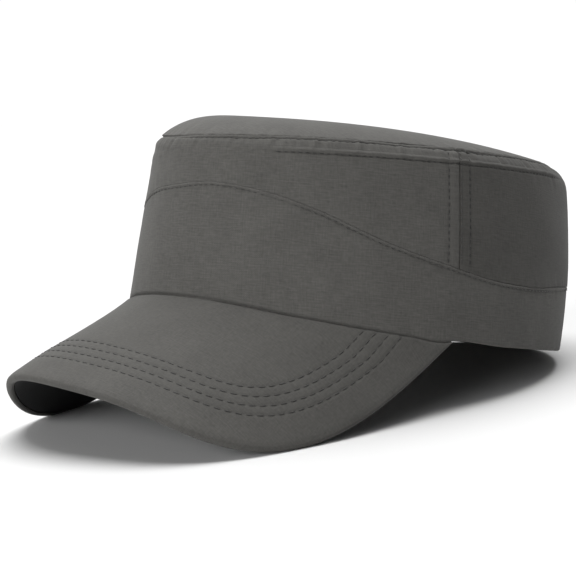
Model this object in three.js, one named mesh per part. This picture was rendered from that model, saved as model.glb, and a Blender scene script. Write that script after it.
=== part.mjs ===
// A soft patrol cap with a bent peak, standing on a flat surface.
// Lengths are millimetres and angles are degrees, with +Z up and the front of the cap towards -Y.
// The cap is drawn level first, with its rim at height 0, and is then tipped back until its peak
// and the back of its rim touch the surface. Angle 0 is the front, 90 the wearer's left, 180 the back.
import * as THREE from 'three';

// Crown: three rings give its form, and each is an ellipse
const RIM_LENGTH = 202;
const RIM_WIDTH = 176.5;
const CREASE_LENGTH = 207;
const CREASE_WIDTH = 149.5;
const CREASE_SHIFT_BACK = 4.4;
const FRONT_HEIGHT = 69.3;
const BACK_HEIGHT = 78.2;
const WALL_BELLY = 3;
const WALL_BELLY_IN_FRONT = 0.15;
const SHOULDER_WIDTH = 6.2;
const SHOULDER_RISE = 6.1;
const SHOULDER_SHIFT_FORWARD = 4.5;
const SHOULDER_BOW = 0.8;
const TOP_DOME = 9.2;
const TOP_DOME_FLATNESS = 4.3;
const TOP_DOME_FORWARD = 0.56;

// Cloth and seams
const CLOTH = 2;
const SEAM_GAP = 0.3;
const SIDE_SEAM_ANGLE = 78.1;
const SIDE_SEAM_LEAN = 1.8;

// Peak: a flat sheet bent round a cylinder that slopes down to the front
const PEAK_LENGTH = 61.8;
const PEAK_PITCH = 38.2;
const PEAK_FRONT_RISE = 10.5;
const PEAK_END_ANGLE = 77.8;
const PEAK_TIP_TURN = 66.7;
const PEAK_SQUARENESS = 3.34;
const PEAK_BOARD = 2.2;
const PEAK_REACH = 0.985;
const LIP_WIDTH = 2.2;
const LIP_OF_SHORT_COLUMN = 0.6;
const UNDER_CLOTH = 1;
const UNDER_REACH = 0.9;

// Rim: how far past the peak it takes to come down level, and how much the cloth flattens at the back
const RIM_EASE = 17;
const REST_FLAT = 0.8;

// Height of the curved seam between band and panels, as a share of the wall's height, on both sides
const CURVED_SEAM = [
  { angle: 0, share: 0.805 },
  { angle: 15, share: 0.811 },
  { angle: 30, share: 0.762 },
  { angle: 45, share: 0.663 },
  { angle: 60, share: 0.525 },
  { angle: 75, share: 0.427 },
  { angle: 90, share: 0.358 },
  { angle: 105, share: 0.344 },
  { angle: 120, share: 0.361 },
  { angle: 135, share: 0.374 },
  { angle: 150, share: 0.378 },
  { angle: 165, share: 0.374 },
  { angle: 180, share: 0.372 },
];

// Colours and roughness of the cloth
const TOP_GREY = '#72716d';
const WALL_GREY = '#64635f';
const BAND_GREY = '#605f5c';
const PEAK_GREY = '#62615e';
const UNDER_BLACK = '#1c1c1d';
const MATT = 0.85;

// Fineness of the meshes, and of the searches that settle the peak's bend and the floor
const FRONT_COLUMNS = 32;
const BACK_COLUMNS = 40;
const BAND_ROWS = 3;
const WALL_ROWS = 4;
const SHOULDER_ROWS = 2;
const TOP_ROWS = 5;
const TOP_ROW_CROWDING = 0.8;
const PEAK_COLUMNS = 52;
const PEAK_ROWS = 5;
const EDGE_ROWS = 3;
const PEAK_SEARCH_ROUNDS = 12;
const FLOOR_SEARCH_ROUNDS = 50;

// Levels on the crown's skin: 0 the rim, 1 the crease, 2 the top seam, 3 the middle of the top
const RIM = 0;
const CREASE = 1;
const TOP_SEAM = 2;
const MIDDLE = 3;
const STEP = 1e-4;

const { lerp, degToRad } = THREE.MathUtils;
const sin = (angle) => Math.sin(degToRad(angle));
const cos = (angle) => Math.cos(degToRad(angle));
const point = (x, y, z) => new THREE.Vector3(x, y, z);
const shares = (count) => Array.from({ length: count + 1 }, (_, index) => index / count);

// A number that runs from its front value to its back value round the crown
function frontToBack(front, back, angle) {
  return lerp(front, back, (1 - cos(angle)) / 2);
}

function ellipse(width, length, shiftBack, angle) {
  return point((width / 2) * sin(angle), shiftBack - (length / 2) * cos(angle), 0);
}

function creaseHeight(angle) {
  return frontToBack(FRONT_HEIGHT, BACK_HEIGHT, angle);
}

// The wall leans from the rim to the crease, and bellies out a little, most at the back
function wallPoint(angle, level) {
  const low = ellipse(RIM_WIDTH, RIM_LENGTH, 0, angle);
  const high = ellipse(CREASE_WIDTH, CREASE_LENGTH, CREASE_SHIFT_BACK, angle);
  const fullness = 4 * level * (1 - level) * frontToBack(WALL_BELLY_IN_FRONT, 1, angle);
  const place = low.lerp(high, level).multiplyScalar(1 + (WALL_BELLY * fullness) / (RIM_LENGTH / 2));
  return place.setZ(level * creaseHeight(angle));
}

function topSeamPoint(angle) {
  const width = CREASE_WIDTH - 2 * SHOULDER_WIDTH;
  const length = CREASE_LENGTH - 2 * SHOULDER_WIDTH;
  const ring = ellipse(width, length, CREASE_SHIFT_BACK - SHOULDER_SHIFT_FORWARD, angle);
  return ring.setZ(creaseHeight(angle) + SHOULDER_RISE);
}

// The shoulder is the narrow slope between the crease and the top seam
function shoulderPoint(angle, share) {
  const bow = 4 * share * (1 - share) * SHOULDER_BOW * Math.SQRT1_2;
  const outwards = point(sin(angle) * bow, -cos(angle) * bow, bow);
  return wallPoint(angle, CREASE).lerp(topSeamPoint(angle), share).add(outwards);
}

// The top is a shallow dome, fuller towards the front, with radius 1 at the top seam
function topPoint(angle, radius) {
  const centre = topSeamPoint(0).lerp(topSeamPoint(180), 0.5);
  const place = centre.lerp(topSeamPoint(angle), radius);
  const forward = 1 - (TOP_DOME_FORWARD * place.y) / (RIM_LENGTH / 2);
  place.z += TOP_DOME * (1 - radius ** TOP_DOME_FLATNESS) * forward;
  return place;
}

function crownPoint(angle, level) {
  if (level <= CREASE) return wallPoint(angle, level);
  if (level <= TOP_SEAM) return shoulderPoint(angle, level - CREASE);
  return topPoint(angle, MIDDLE - level);
}

// The outward normal of the skin just above or just below a level
function crownNormal(angle, level, side) {
  const inside = level + side * STEP;
  const around = crownPoint(angle + 1, inside).sub(crownPoint(angle - 1, inside));
  const upwards = crownPoint(angle, inside).sub(crownPoint(angle, level)).multiplyScalar(side);
  return around.cross(upwards).normalize();
}

// From a point of the outer skin to its partner on the inner skin, mitred where two walls meet
function throughCloth(firstNormal, secondNormal) {
  const scale = -CLOTH / (1 + firstNormal.dot(secondNormal));
  return firstNormal.clone().add(secondNormal).multiplyScalar(scale);
}

function crownInwards(angle, level) {
  if (level === MIDDLE) return point(0, 0, -CLOTH);
  const above = crownNormal(angle, level, 1);
  const below = level === RIM ? above : crownNormal(angle, level, -1);
  return throughCloth(below, above);
}

// A smooth curve through the table's evenly spaced rows, the same on both sides of the cap
function curvedSeamLevel(angle) {
  const spacing = CURVED_SEAM[1].angle - CURVED_SEAM[0].angle;
  const last = CURVED_SEAM.length - 1;
  const place = Math.abs(((angle + 180) % 360) - 180) / spacing;
  const row = Math.min(Math.floor(place), last - 1);
  const share = (index) => CURVED_SEAM[last - Math.abs(last - Math.abs(index))].share;
  const [before, start, end, after] = [share(row - 1), share(row), share(row + 1), share(row + 2)];
  const t = place - row;
  const cubic = (3 * (start - end) + after - before) * t + (2 * before - 5 * start + 4 * end - after);
  return start + 0.5 * t * (end - before + t * cubic);
}

// Columns: -1 to 1 is the front between the side seams, and 1 to 3 goes round the back
function columnAngle(column, frontHalf) {
  if (column <= 1) return column * frontHalf;
  return frontHalf + (column - 1) * (180 - frontHalf);
}

function sideSeamAngle(level) {
  return SIDE_SEAM_ANGLE + SIDE_SEAM_LEAN * Math.min(level, CREASE);
}

const frontColumns = shares(FRONT_COLUMNS).map((share) => lerp(-1, 1, share));
const backColumns = shares(BACK_COLUMNS).map((share) => lerp(1, 3, share));
const ringColumns = [...frontColumns.slice(0, -1), ...backColumns.slice(0, -1)];
const seamGapAngle = THREE.MathUtils.radToDeg(SEAM_GAP / 2 / (RIM_WIDTH / 2));
const seamGapLevel = SEAM_GAP / 2 / FRONT_HEIGHT;
const shoulderSlant = Math.hypot(SHOULDER_WIDTH, SHOULDER_RISE);
const topRadius = CREASE_WIDTH / 2 - SHOULDER_WIDTH;

// The peak's bend: its axis runs along the slope, and its ends land on the wall at the end angle
const peakRoot = wallPoint(0, PEAK_FRONT_RISE / creaseHeight(0));
const peakBend = findPeakBend();

// How far the bent sheet has dropped, square to its slope, at a distance x from the middle
function bendDrop(radius, x) {
  return radius - Math.sqrt(Math.max(radius * radius - x * x, 0));
}

function peakHeight(radius, x, y) {
  const slope = Math.tan(degToRad(PEAK_PITCH));
  return peakRoot.z + (y - peakRoot.y) * slope - bendDrop(radius, x) / cos(PEAK_PITCH);
}

function findPeakBend() {
  let height = 0;
  let radius = RIM_WIDTH / 2;
  for (let round = 0; round < PEAK_SEARCH_ROUNDS; round++) {
    const end = wallPoint(PEAK_END_ANGLE, height / creaseHeight(PEAK_END_ANGLE));
    radius = end.x / sin(PEAK_TIP_TURN);
    height = peakHeight(radius, end.x, end.y);
  }
  return { radius, halfWidth: radius * degToRad(PEAK_TIP_TURN) };
}

// Where the wall meets the peak's upper skin, at an angle between the peak's ends
function junctionLevel(angle) {
  let level = 0;
  for (let round = 0; round < PEAK_SEARCH_ROUNDS; round++) {
    const place = wallPoint(angle, level);
    level = peakHeight(peakBend.radius, place.x, place.y) / creaseHeight(angle);
  }
  return level;
}

// A point of the peak from its place in the flat pattern: along and forward are measured on the cloth
function peakPoint(flat, depth) {
  const turn = flat.along / peakBend.radius;
  const x = peakBend.radius * Math.sin(turn);
  const drop = bendDrop(peakBend.radius, x);
  const y = peakRoot.y - flat.forward * cos(PEAK_PITCH) + drop * sin(PEAK_PITCH);
  const z = peakRoot.z - flat.forward * sin(PEAK_PITCH) - drop * cos(PEAK_PITCH);
  return point(x, y, z).addScaledVector(peakNormal(x), -depth);
}

function peakNormal(x) {
  const across = x / peakBend.radius;
  const along = Math.sqrt(1 - across * across);
  return point(across, -along * sin(PEAK_PITCH), along * cos(PEAK_PITCH));
}

// The same place of a point on the wall, laid out in the peak's flat pattern
function flatPlace(place) {
  const drop = bendDrop(peakBend.radius, place.x);
  return {
    along: peakBend.radius * Math.asin(place.x / peakBend.radius),
    forward: (peakRoot.y - place.y + drop * sin(PEAK_PITCH)) / cos(PEAK_PITCH),
  };
}

// The outer edge is one rounded squarish curve, centred on the line between the peak's ends
function peakEdge(turn) {
  const endLine = flatPlace(wallPoint(PEAK_END_ANGLE, junctionLevel(PEAK_END_ANGLE))).forward;
  const acrossPart = Math.abs(sin(turn) / peakBend.halfWidth) ** PEAK_SQUARENESS;
  const forwardPart = Math.abs(cos(turn) / (PEAK_LENGTH - endLine)) ** PEAK_SQUARENESS;
  const reach = (acrossPart + forwardPart) ** (-1 / PEAK_SQUARENESS);
  return { along: reach * sin(turn), forward: endLine + reach * cos(turn) };
}

// A closed solid from an outer and an inner skin, each a list of columns of points.
// Columns go to the right as seen from outside, and rows go up.
function clothSolid(outer, inner, closedRound) {
  const corners = [];
  const triangle = (a, b, c) => {
    const thin = a.distanceTo(b) < STEP || b.distanceTo(c) < STEP || c.distanceTo(a) < STEP;
    if (!thin) corners.push(...a, ...b, ...c);
  };
  const quad = (a, b, c, d) => {
    triangle(a, b, c);
    triangle(a, c, d);
  };
  const lastRow = outer[0].length - 1;
  const lastColumn = outer.length - 1;
  outer.forEach((column, index) => {
    const right = index === lastColumn ? 0 : index + 1;
    if (index === lastColumn && !closedRound) return;
    const [outerRight, innerLeft, innerRight] = [outer[right], inner[index], inner[right]];
    for (let row = 0; row < lastRow; row++) {
      quad(column[row], outerRight[row], outerRight[row + 1], column[row + 1]);
      quad(innerRight[row], innerLeft[row], innerLeft[row + 1], innerRight[row + 1]);
    }
    quad(outerRight[0], column[0], innerLeft[0], innerRight[0]);
    quad(column[lastRow], outerRight[lastRow], innerRight[lastRow], innerLeft[lastRow]);
  });
  if (!closedRound) {
    const [outerEnd, innerEnd] = [outer[lastColumn], inner[lastColumn]];
    for (let row = 0; row < lastRow; row++) {
      quad(outer[0][row], outer[0][row + 1], inner[0][row + 1], inner[0][row]);
      quad(outerEnd[row + 1], outerEnd[row], innerEnd[row], innerEnd[row + 1]);
    }
  }
  const geometry = new THREE.BufferGeometry();
  geometry.setAttribute('position', new THREE.Float32BufferAttribute(corners, 3));
  geometry.computeVertexNormals();
  return geometry;
}

// Outer and inner skin of a crown panel: rows give the level, the cut level and the angle of each point
function panelGeometry(columns, rows, placeOf, closedRound) {
  const outer = [];
  const inner = [];
  columns.forEach((column) => {
    const places = rows.map((row) => placeOf(column, row));
    outer.push(places.map((place) => crownPoint(place.angle, place.cutLevel)));
    inner.push(places.map((place, index) => {
      return outer[outer.length - 1][index].clone().add(crownInwards(place.angle, place.level));
    }));
  });
  return clothSolid(outer, inner, closedRound);
}

// The rows of a wall panel go from the curved seam over the crease to the top seam
const panelRows = [
  ...shares(WALL_ROWS).map((share) => ({ wall: share, shoulder: 0 })),
  ...shares(SHOULDER_ROWS).slice(1).map((share) => ({ wall: 1, shoulder: share })),
];

function wallPanelPlace(column, row) {
  const seamLevel = curvedSeamLevel(columnAngle(column, SIDE_SEAM_ANGLE));
  const level = lerp(seamLevel, CREASE, row.wall) + row.shoulder;
  const lift = seamGapLevel * (1 - row.wall);
  const drop = row.shoulder === 1 ? SEAM_GAP / 2 / shoulderSlant : 0;
  return { angle: columnAngle(column, sideSeamAngle(level)), level, cutLevel: level + lift - drop };
}

function frontPanelPlace(column, row) {
  const place = wallPanelPlace(column, row);
  place.angle -= Math.abs(column) === 1 ? Math.sign(column) * seamGapAngle : 0;
  return place;
}

function backPanelPlace(column, row) {
  const place = wallPanelPlace(column, row);
  place.angle += column === 1 ? seamGapAngle : 0;
  place.angle -= column === 3 ? seamGapAngle : 0;
  return place;
}

function crownTopPlace(column, row) {
  const level = TOP_SEAM + row;
  const drawIn = row === 0 ? SEAM_GAP / 2 / topRadius : 0;
  return { angle: columnAngle(column, sideSeamAngle(CREASE)), level, cutLevel: level + drawIn };
}

const peakTip = wallPoint(PEAK_END_ANGLE, junctionLevel(PEAK_END_ANGLE)).x;

// The band's lower edge follows the peak, and past its ends comes down to the free rim
function bandFoot(angle) {
  const fromFront = Math.abs(((angle + 180) % 360) - 180);
  const side = Math.min(fromFront, PEAK_END_ANGLE);
  const free = THREE.MathUtils.smoothstep(fromFront, PEAK_END_ANGLE, PEAK_END_ANGLE + RIM_EASE);
  const joined = junctionLevel(side) + SEAM_GAP / 2 / creaseHeight(side);
  const outer = wallPoint(angle, joined * (1 - free));
  const normal = crownNormal(angle, RIM, 1);
  const level = normal.clone().setZ(0).normalize().multiplyScalar(-CLOTH);
  const mitred = throughCloth(normal, peakNormal(THREE.MathUtils.clamp(outer.x, -peakTip, peakTip)));
  return { outer, inner: outer.clone().add(mitred.lerp(level, free)) };
}

function bandGeometry(floor) {
  const outer = [];
  const inner = [];
  ringColumns.forEach((column) => {
    const topAngle = columnAngle(column, SIDE_SEAM_ANGLE);
    const foot = bandFoot(columnAngle(column, PEAK_END_ANGLE));
    const topLevel = curvedSeamLevel(topAngle) - seamGapLevel;
    const footLevel = foot.outer.z / creaseHeight(topAngle);
    const rest = (place) => place.setZ(Math.max(place.z, floor ? floor.heightAt(place.y) : place.z));
    const places = shares(BAND_ROWS).slice(1).map((share) => ({
      angle: lerp(columnAngle(column, PEAK_END_ANGLE), topAngle, share),
      level: lerp(footLevel, topLevel, share),
    }));
    const skin = places.map((place) => crownPoint(place.angle, place.level));
    const lining = places.map((place, index) => {
      return skin[index].clone().add(crownInwards(place.angle, place.level));
    });
    outer.push([rest(foot.outer), ...skin]);
    inner.push([rest(foot.inner), ...lining]);
  });
  return clothSolid(outer, inner, true);
}

// One column of the peak, from its outer edge to the wall: how far in a place is, for each distance
function peakColumn(column) {
  const wallAngle = PEAK_END_ANGLE * column;
  const foot = wallPoint(wallAngle, junctionLevel(wallAngle));
  const edge = peakEdge(90 * column);
  const join = flatPlace(foot);
  join.forward += SEAM_GAP / 2;
  const length = Math.hypot(join.along - edge.along, join.forward - edge.forward);
  const squeeze = Math.min(1, (LIP_OF_SHORT_COLUMN * length) / (LIP_WIDTH + 2 * SEAM_GAP));
  const at = (share, depth) => peakPoint({
    along: lerp(edge.along, join.along, share),
    forward: lerp(edge.forward, join.forward, share),
  }, depth);
  const setBack = (distance) => (distance * squeeze) / length;
  const mitre = throughCloth(crownNormal(wallAngle, RIM, 1), peakNormal(foot.x));
  return { at, setBack, mitre };
}

const lipDepth = PEAK_BOARD + SEAM_GAP + UNDER_CLOTH;

// The peak's board and cover: a rolled edge, a lip that hides the edge of the cloth below, then the sheet
function peakGeometry() {
  const outer = [];
  const inner = [];
  const roll = lipDepth / 2;
  const rollTurns = shares(EDGE_ROWS).slice(1).map((share) => 90 * share);
  const lipEnd = LIP_WIDTH + SEAM_GAP;
  shares(PEAK_COLUMNS).forEach((share) => {
    const { at, setBack, mitre } = peakColumn(lerp(-PEAK_REACH, PEAK_REACH, share));
    const sheet = shares(PEAK_ROWS).slice(1, -1).map((part) => lerp(setBack(lipEnd), 1, part));
    const joined = at(1, 0);
    const rollOf = (turn) => setBack(roll * (1 - cos(turn)));
    outer.push([
      ...rollTurns.map((turn) => at(rollOf(turn), roll - roll * sin(turn))),
      at(setBack(LIP_WIDTH), 0),
      at(setBack(lipEnd), 0),
      ...sheet.map((part) => at(part, 0)),
      joined,
    ]);
    inner.push([
      ...rollTurns.map((turn) => at(rollOf(turn), roll + roll * sin(turn))),
      at(setBack(LIP_WIDTH), lipDepth),
      at(setBack(lipEnd), PEAK_BOARD),
      ...sheet.map((part) => at(part, PEAK_BOARD)),
      joined.clone().add(mitre),
    ]);
  });
  return clothSolid(outer, inner, false);
}

// The dark cloth under the peak lies inside the lip
function peakUnderGeometry() {
  const columns = shares(PEAK_COLUMNS).map((share) => {
    return peakColumn(lerp(-UNDER_REACH, UNDER_REACH, share));
  });
  const skin = (depth) => columns.map(({ at, setBack }) => {
    const start = setBack(LIP_WIDTH + 2 * SEAM_GAP);
    return shares(PEAK_ROWS - 1).map((share) => at(lerp(start, 1, share), depth));
  });
  return clothSolid(skin(PEAK_BOARD + SEAM_GAP), skin(lipDepth), false);
}

// The surface that the cap stands on, as a plane in the level cap's own frame: it touches the
// lowest places of the peak, and presses the back of the rim up by the flattening
function findFloor(peakPlaces) {
  const back = RIM_LENGTH / 2;
  let [flatter, steeper] = [0, 1];
  for (let round = 0; round < FLOOR_SEARCH_ROUNDS; round++) {
    const slope = (flatter + steeper) / 2;
    const underPeak = Math.min(...peakPlaces.map((place) => place.z - slope * place.y));
    if (underPeak + slope * back > REST_FLAT) steeper = slope;
    else flatter = slope;
  }
  return { tilt: Math.atan(flatter), heightAt: (y) => REST_FLAT + flatter * (y - back) };
}

function meshPlaces(geometry) {
  const { array } = geometry.attributes.position;
  return shares(array.length / 3 - 1).map((_, index) => point().fromArray(array, 3 * index));
}

function addPiece(group, name, geometry, colour) {
  const material = new THREE.MeshStandardMaterial({ color: colour, roughness: MATT, metalness: 0 });
  const mesh = new THREE.Mesh(geometry, material);
  mesh.name = name;
  group.add(mesh);
}

function buildCap() {
  const peak = peakGeometry();
  const floor = findFloor(meshPlaces(peak));
  const levelCap = new THREE.Group();
  const topRows = shares(TOP_ROWS).map((share) => share ** TOP_ROW_CROWDING);
  addPiece(levelCap, 'crown_top', panelGeometry(ringColumns, topRows, crownTopPlace, true), TOP_GREY);
  addPiece(levelCap, 'front_panel', panelGeometry(frontColumns, panelRows, frontPanelPlace), WALL_GREY);
  addPiece(levelCap, 'back_panel', panelGeometry(backColumns, panelRows, backPanelPlace), WALL_GREY);
  addPiece(levelCap, 'band', bandGeometry(floor), BAND_GREY);
  addPiece(levelCap, 'peak', peak, PEAK_GREY);
  addPiece(levelCap, 'peak_under', peakUnderGeometry(), UNDER_BLACK);

  levelCap.rotation.x = -floor.tilt;
  const box = new THREE.Box3().setFromObject(levelCap, true);
  levelCap.position.set(0, -(box.min.y + box.max.y) / 2, -box.min.z);
  const cap = new THREE.Group();
  cap.name = 'patrol_cap';
  cap.add(levelCap);
  return cap;
}

export default buildCap();
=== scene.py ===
# %% [markdown]
# # A soft patrol cap
# We dress the solid model of a patrol cap: a low crown with a domed top, a band below a curved
# seam, and a bent peak with four rows of stitching. The solid model fixes every size and place.
# Here each piece of cloth becomes a fine mesh with its seams, stitches, puckers and weave.

# %% Load the solid model
import math
import bpy
import numpy as np
from mathutils import Matrix, Vector


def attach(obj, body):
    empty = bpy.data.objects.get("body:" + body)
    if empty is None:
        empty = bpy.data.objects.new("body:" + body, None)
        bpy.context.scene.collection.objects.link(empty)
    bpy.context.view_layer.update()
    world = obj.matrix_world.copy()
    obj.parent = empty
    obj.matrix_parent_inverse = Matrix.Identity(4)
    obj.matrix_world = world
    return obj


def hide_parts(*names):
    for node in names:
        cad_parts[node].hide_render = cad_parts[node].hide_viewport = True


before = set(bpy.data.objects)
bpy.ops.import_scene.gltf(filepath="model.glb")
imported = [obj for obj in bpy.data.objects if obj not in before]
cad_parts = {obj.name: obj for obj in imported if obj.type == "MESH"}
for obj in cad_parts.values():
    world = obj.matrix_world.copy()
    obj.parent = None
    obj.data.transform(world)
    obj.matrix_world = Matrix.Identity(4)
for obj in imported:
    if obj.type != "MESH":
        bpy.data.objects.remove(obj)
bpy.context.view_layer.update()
MM = 0.001

# %% [markdown]
# ## The pattern of the cap
# A cap has no flat faces, so its maker works from rings: the rim, the crease where the wall folds
# over to the shoulder, and the top seam. Each ring is an ellipse, and the cloth runs straight from
# one to the next. The sizes are those of the solid model, in millimetres and degrees, with the cap
# drawn level. Angle 0 is the front, 90 the wearer's left, 180 the back. Only the names with SAG,
# PUFF, LIFT, DIP or STRAIGHTEN are new: they are the small ways in which this soft cap isn't even.

# %% Sizes of the cap
RIM_LENGTH = 202
RIM_WIDTH = 176.5
CREASE_LENGTH = 207
CREASE_WIDTH = 149.5
CREASE_SHIFT_BACK = 4.4
FRONT_HEIGHT = 69.3
BACK_HEIGHT = 78.2
WALL_BELLY = 3
WALL_BELLY_IN_FRONT = 0.15
SHOULDER_WIDTH = 6.2
SHOULDER_RISE = 6.1
SHOULDER_SHIFT_FORWARD = 4.5
SHOULDER_BOW = 0.8
TOP_DOME = 9.2
TOP_DOME_FLATNESS = 4.3
TOP_DOME_FORWARD = 0.56
TOP_SAG = 0.9
TOP_PUFF = 1.9
PUFF_ANGLE = -20
PUFF_SPREAD = 32
PUFF_RISE = 0.14
PUFF_FALL = 0.36
CORNER_ANGLE = -32
CORNER_SPREAD = 18
SHOULDER_PUFF = 2.4
SEAM_LIFT = 1.8
SIDE_SEAM_ANGLE = 78.1
SIDE_SEAM_LEAN = 1.8
SIDE_SEAM_STRAIGHTEN = 3.4
SEAM_DIP = 0.072
SEAM_DIP_ANGLE = -27
SEAM_DIP_SPREAD = 20
PEAK_LENGTH = 61.8
PEAK_PITCH = 38.2
PEAK_FRONT_RISE = 10.5
PEAK_END_ANGLE = 77.8
PEAK_TIP_TURN = 66.7
PEAK_SQUARENESS = 3.34
PEAK_BOARD = 2.2
SEAM_GAP = 0.3
UNDER_CLOTH = 1
LIP_WIDTH = 2.2
LIP_DEPTH = PEAK_BOARD + SEAM_GAP + UNDER_CLOTH
RIM_EASE = 17
WALL = 2
CURVED_SEAM = {0: 0.805, 15: 0.811, 30: 0.762, 45: 0.663, 60: 0.525, 75: 0.427, 90: 0.358,
               105: 0.344, 120: 0.361, 135: 0.374, 150: 0.378, 165: 0.374, 180: 0.372}
TIP_BACK = 12.872
STAND_BACK = 14.365
STAND_LIFT = 21.721
SHOULDER_SLANT = math.hypot(SHOULDER_WIDTH, SHOULDER_RISE)
print("shoulder slope is", round(SHOULDER_SLANT, 1), "mm wide")


# %% Small helpers
def sine(angle):
    return np.sin(np.radians(angle))


def cosine(angle):
    return np.cos(np.radians(angle))


def mix(low, high, share):
    return low + (high - low) * share


def front_to_back(front, back, angle):
    return mix(front, back, (1 - cosine(angle)) / 2)


def ellipse(width, length, shift_back, angle):
    return np.stack([width / 2 * sine(angle), shift_back - length / 2 * cosine(angle)], -1)


def bump_at(angle, middle, spread):
    turn = (angle - middle + 180) % 360 - 180
    return np.exp(-((turn / spread) ** 2))


corner_share = bump_at(0, CORNER_ANGLE, CORNER_SPREAD)
print("of the raised front corner, the middle of the front keeps", corner_share.round(3))


# %% The wall and the shoulder as functions of angle and height
def puff(angle):
    """Where the top is plumped up: beside the seam in front."""
    return bump_at(angle, PUFF_ANGLE, PUFF_SPREAD)


def corner(angle):
    """Where the fold and the seam stand up: at the front corner on the wearer's right."""
    return bump_at(angle, CORNER_ANGLE, CORNER_SPREAD)


def crease_height(angle):
    return front_to_back(FRONT_HEIGHT, BACK_HEIGHT, angle)


def wall_point(angle, level):
    low = ellipse(RIM_WIDTH, RIM_LENGTH, 0, angle)
    high = ellipse(CREASE_WIDTH, CREASE_LENGTH, CREASE_SHIFT_BACK, angle)
    fullness = 4 * level * (1 - level) * front_to_back(WALL_BELLY_IN_FRONT, 1, angle)
    swell = 1 + WALL_BELLY * fullness / (RIM_LENGTH / 2)
    flat = mix(low, high, level[..., None]) * swell[..., None]
    return np.concatenate([flat, (level * crease_height(angle))[..., None]], -1)


def top_seam_point(angle):
    width = CREASE_WIDTH - 2 * SHOULDER_WIDTH
    length = CREASE_LENGTH - 2 * SHOULDER_WIDTH
    ring = ellipse(width, length, CREASE_SHIFT_BACK - SHOULDER_SHIFT_FORWARD, angle)
    rise = SHOULDER_RISE + SEAM_LIFT * corner(angle)
    return np.concatenate([ring, (crease_height(angle) + rise)[..., None]], -1)


def shoulder_point(angle, share):
    bow = 4 * share * (1 - share) * (SHOULDER_BOW + SHOULDER_PUFF * corner(angle)) * math.sqrt(0.5)
    outwards = np.stack([sine(angle) * bow, -cosine(angle) * bow, bow], -1)
    low = wall_point(angle, np.ones_like(angle))
    return mix(low, top_seam_point(angle), share[..., None]) + outwards


middle_of_front = np.zeros(1)
print("top of the wall in front:", wall_point(middle_of_front, middle_of_front + 1).round(1))


# %% The domed top, from its middle to the top seam
def dome_point(angle, radius):
    ends = top_seam_point(np.array([0.0, 180.0]))
    place = mix(ends.mean(0), top_seam_point(angle), radius[..., None])
    forward = 1 - TOP_DOME_FORWARD * place[..., 1] / (RIM_LENGTH / 2)
    outer_share = np.clip(2 * radius, 0, 1)
    plump = puff(angle) * outer_share * outer_share * (3 - 2 * outer_share)
    low = (1 - radius ** TOP_DOME_FLATNESS) * (TOP_DOME * forward - TOP_SAG * (1 - plump))
    inside = 1 - radius
    rising = np.clip(inside / PUFF_RISE, 0, 1)
    falling = np.clip((inside - PUFF_RISE) / PUFF_FALL, 0, 1)
    swell = rising * (2 - rising) * (1 - falling * falling * (3 - 2 * falling))
    place[..., 2] += low + TOP_PUFF * plump * swell
    return place


print("middle of the top:", dome_point(middle_of_front, middle_of_front).round(1))


# %% The curved seam and the side seam
def curved_seam(angle):
    """Height of the curved seam as a share of the wall, a smooth curve through its table."""
    angles = np.array(sorted(CURVED_SEAM))
    shares = np.array([CURVED_SEAM[a] for a in angles])
    shares = np.concatenate([shares[:0:-1], shares, shares[-2:-4:-1]])
    spacing = angles[1]
    place = np.abs((angle + 180) % 360 - 180) / spacing + len(angles) - 1
    row = np.minimum(place.astype(int), 2 * len(angles) - 3)
    before, start, end, after = (shares[row + k] for k in (-1, 0, 1, 2))
    t = place - row
    cubic = (3 * (start - end) + after - before) * t + (2 * before - 5 * start + 4 * end - after)
    dip = SEAM_DIP * bump_at(angle, SEAM_DIP_ANGLE, SEAM_DIP_SPREAD)
    return start + 0.5 * t * (end - before + t * cubic) - dip


def side_seam(level):
    over_shoulder = np.maximum(level - 1, 0) * SIDE_SEAM_STRAIGHTEN
    return SIDE_SEAM_ANGLE + SIDE_SEAM_LEAN * np.minimum(level, 1) + over_shoulder


print("curved seam from front to back:", curved_seam(np.arange(0, 181, 30.0)).round(3))

# %% [markdown]
# The crease is a fold in cloth, so it is round, not sharp: softest at the front, where nothing
# pinches it. A Bevel modifier would round it evenly all the way. We measure height along the cloth
# and average the skin over a short stretch instead, which may be longer where the fold is softer.


# %% Round the crease, and find the cloth's outward direction
CREASE_ROUND = 0.8
FRONT_ROUND = 1.8
CORNER_ROUND = 2
CREASE_MIDDLE = -12
CREASE_STARTS = 44
CREASE_ENDS = 134
CREASE_EASE = 18
LOOK_AROUND = 0.2
LOOK_UP = 0.25
LOOK_IN = 0.01
BESIDE_POLE = 0.03


def unit(vectors):
    return vectors / np.linalg.norm(vectors, axis=-1, keepdims=True)


def climb(angle, level, distance):
    """Level after a distance in millimetres up the cloth."""
    height = crease_height(angle)
    along = np.where(level < 1, level * height, height + (level - 1) * SHOULDER_SLANT) + distance
    return np.where(along < height, along / height, 1 + (along - height) / SHOULDER_SLANT)


def sharp_side(angle, level):
    """The skin with an unrounded crease: levels 0 to 1 are the wall, 1 to 2 the shoulder."""
    low = wall_point(angle, np.minimum(level, 1))
    high = shoulder_point(angle, np.maximum(level - 1, 0))
    return np.where((level < 1)[..., None], low, high)


def creased(angle):
    """0 where the crease is a soft fold in front, 1 where a row of stitches sharpens it."""
    to_middle = np.abs((angle - CREASE_MIDDLE + 180) % 360 - 180)
    rising = np.clip((to_middle - CREASE_STARTS) / CREASE_EASE + 0.5, 0, 1)
    falling = np.clip((CREASE_ENDS - to_middle) / CREASE_EASE + 0.5, 0, 1)
    share = rising * falling
    return share * share * (3 - 2 * share)


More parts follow.
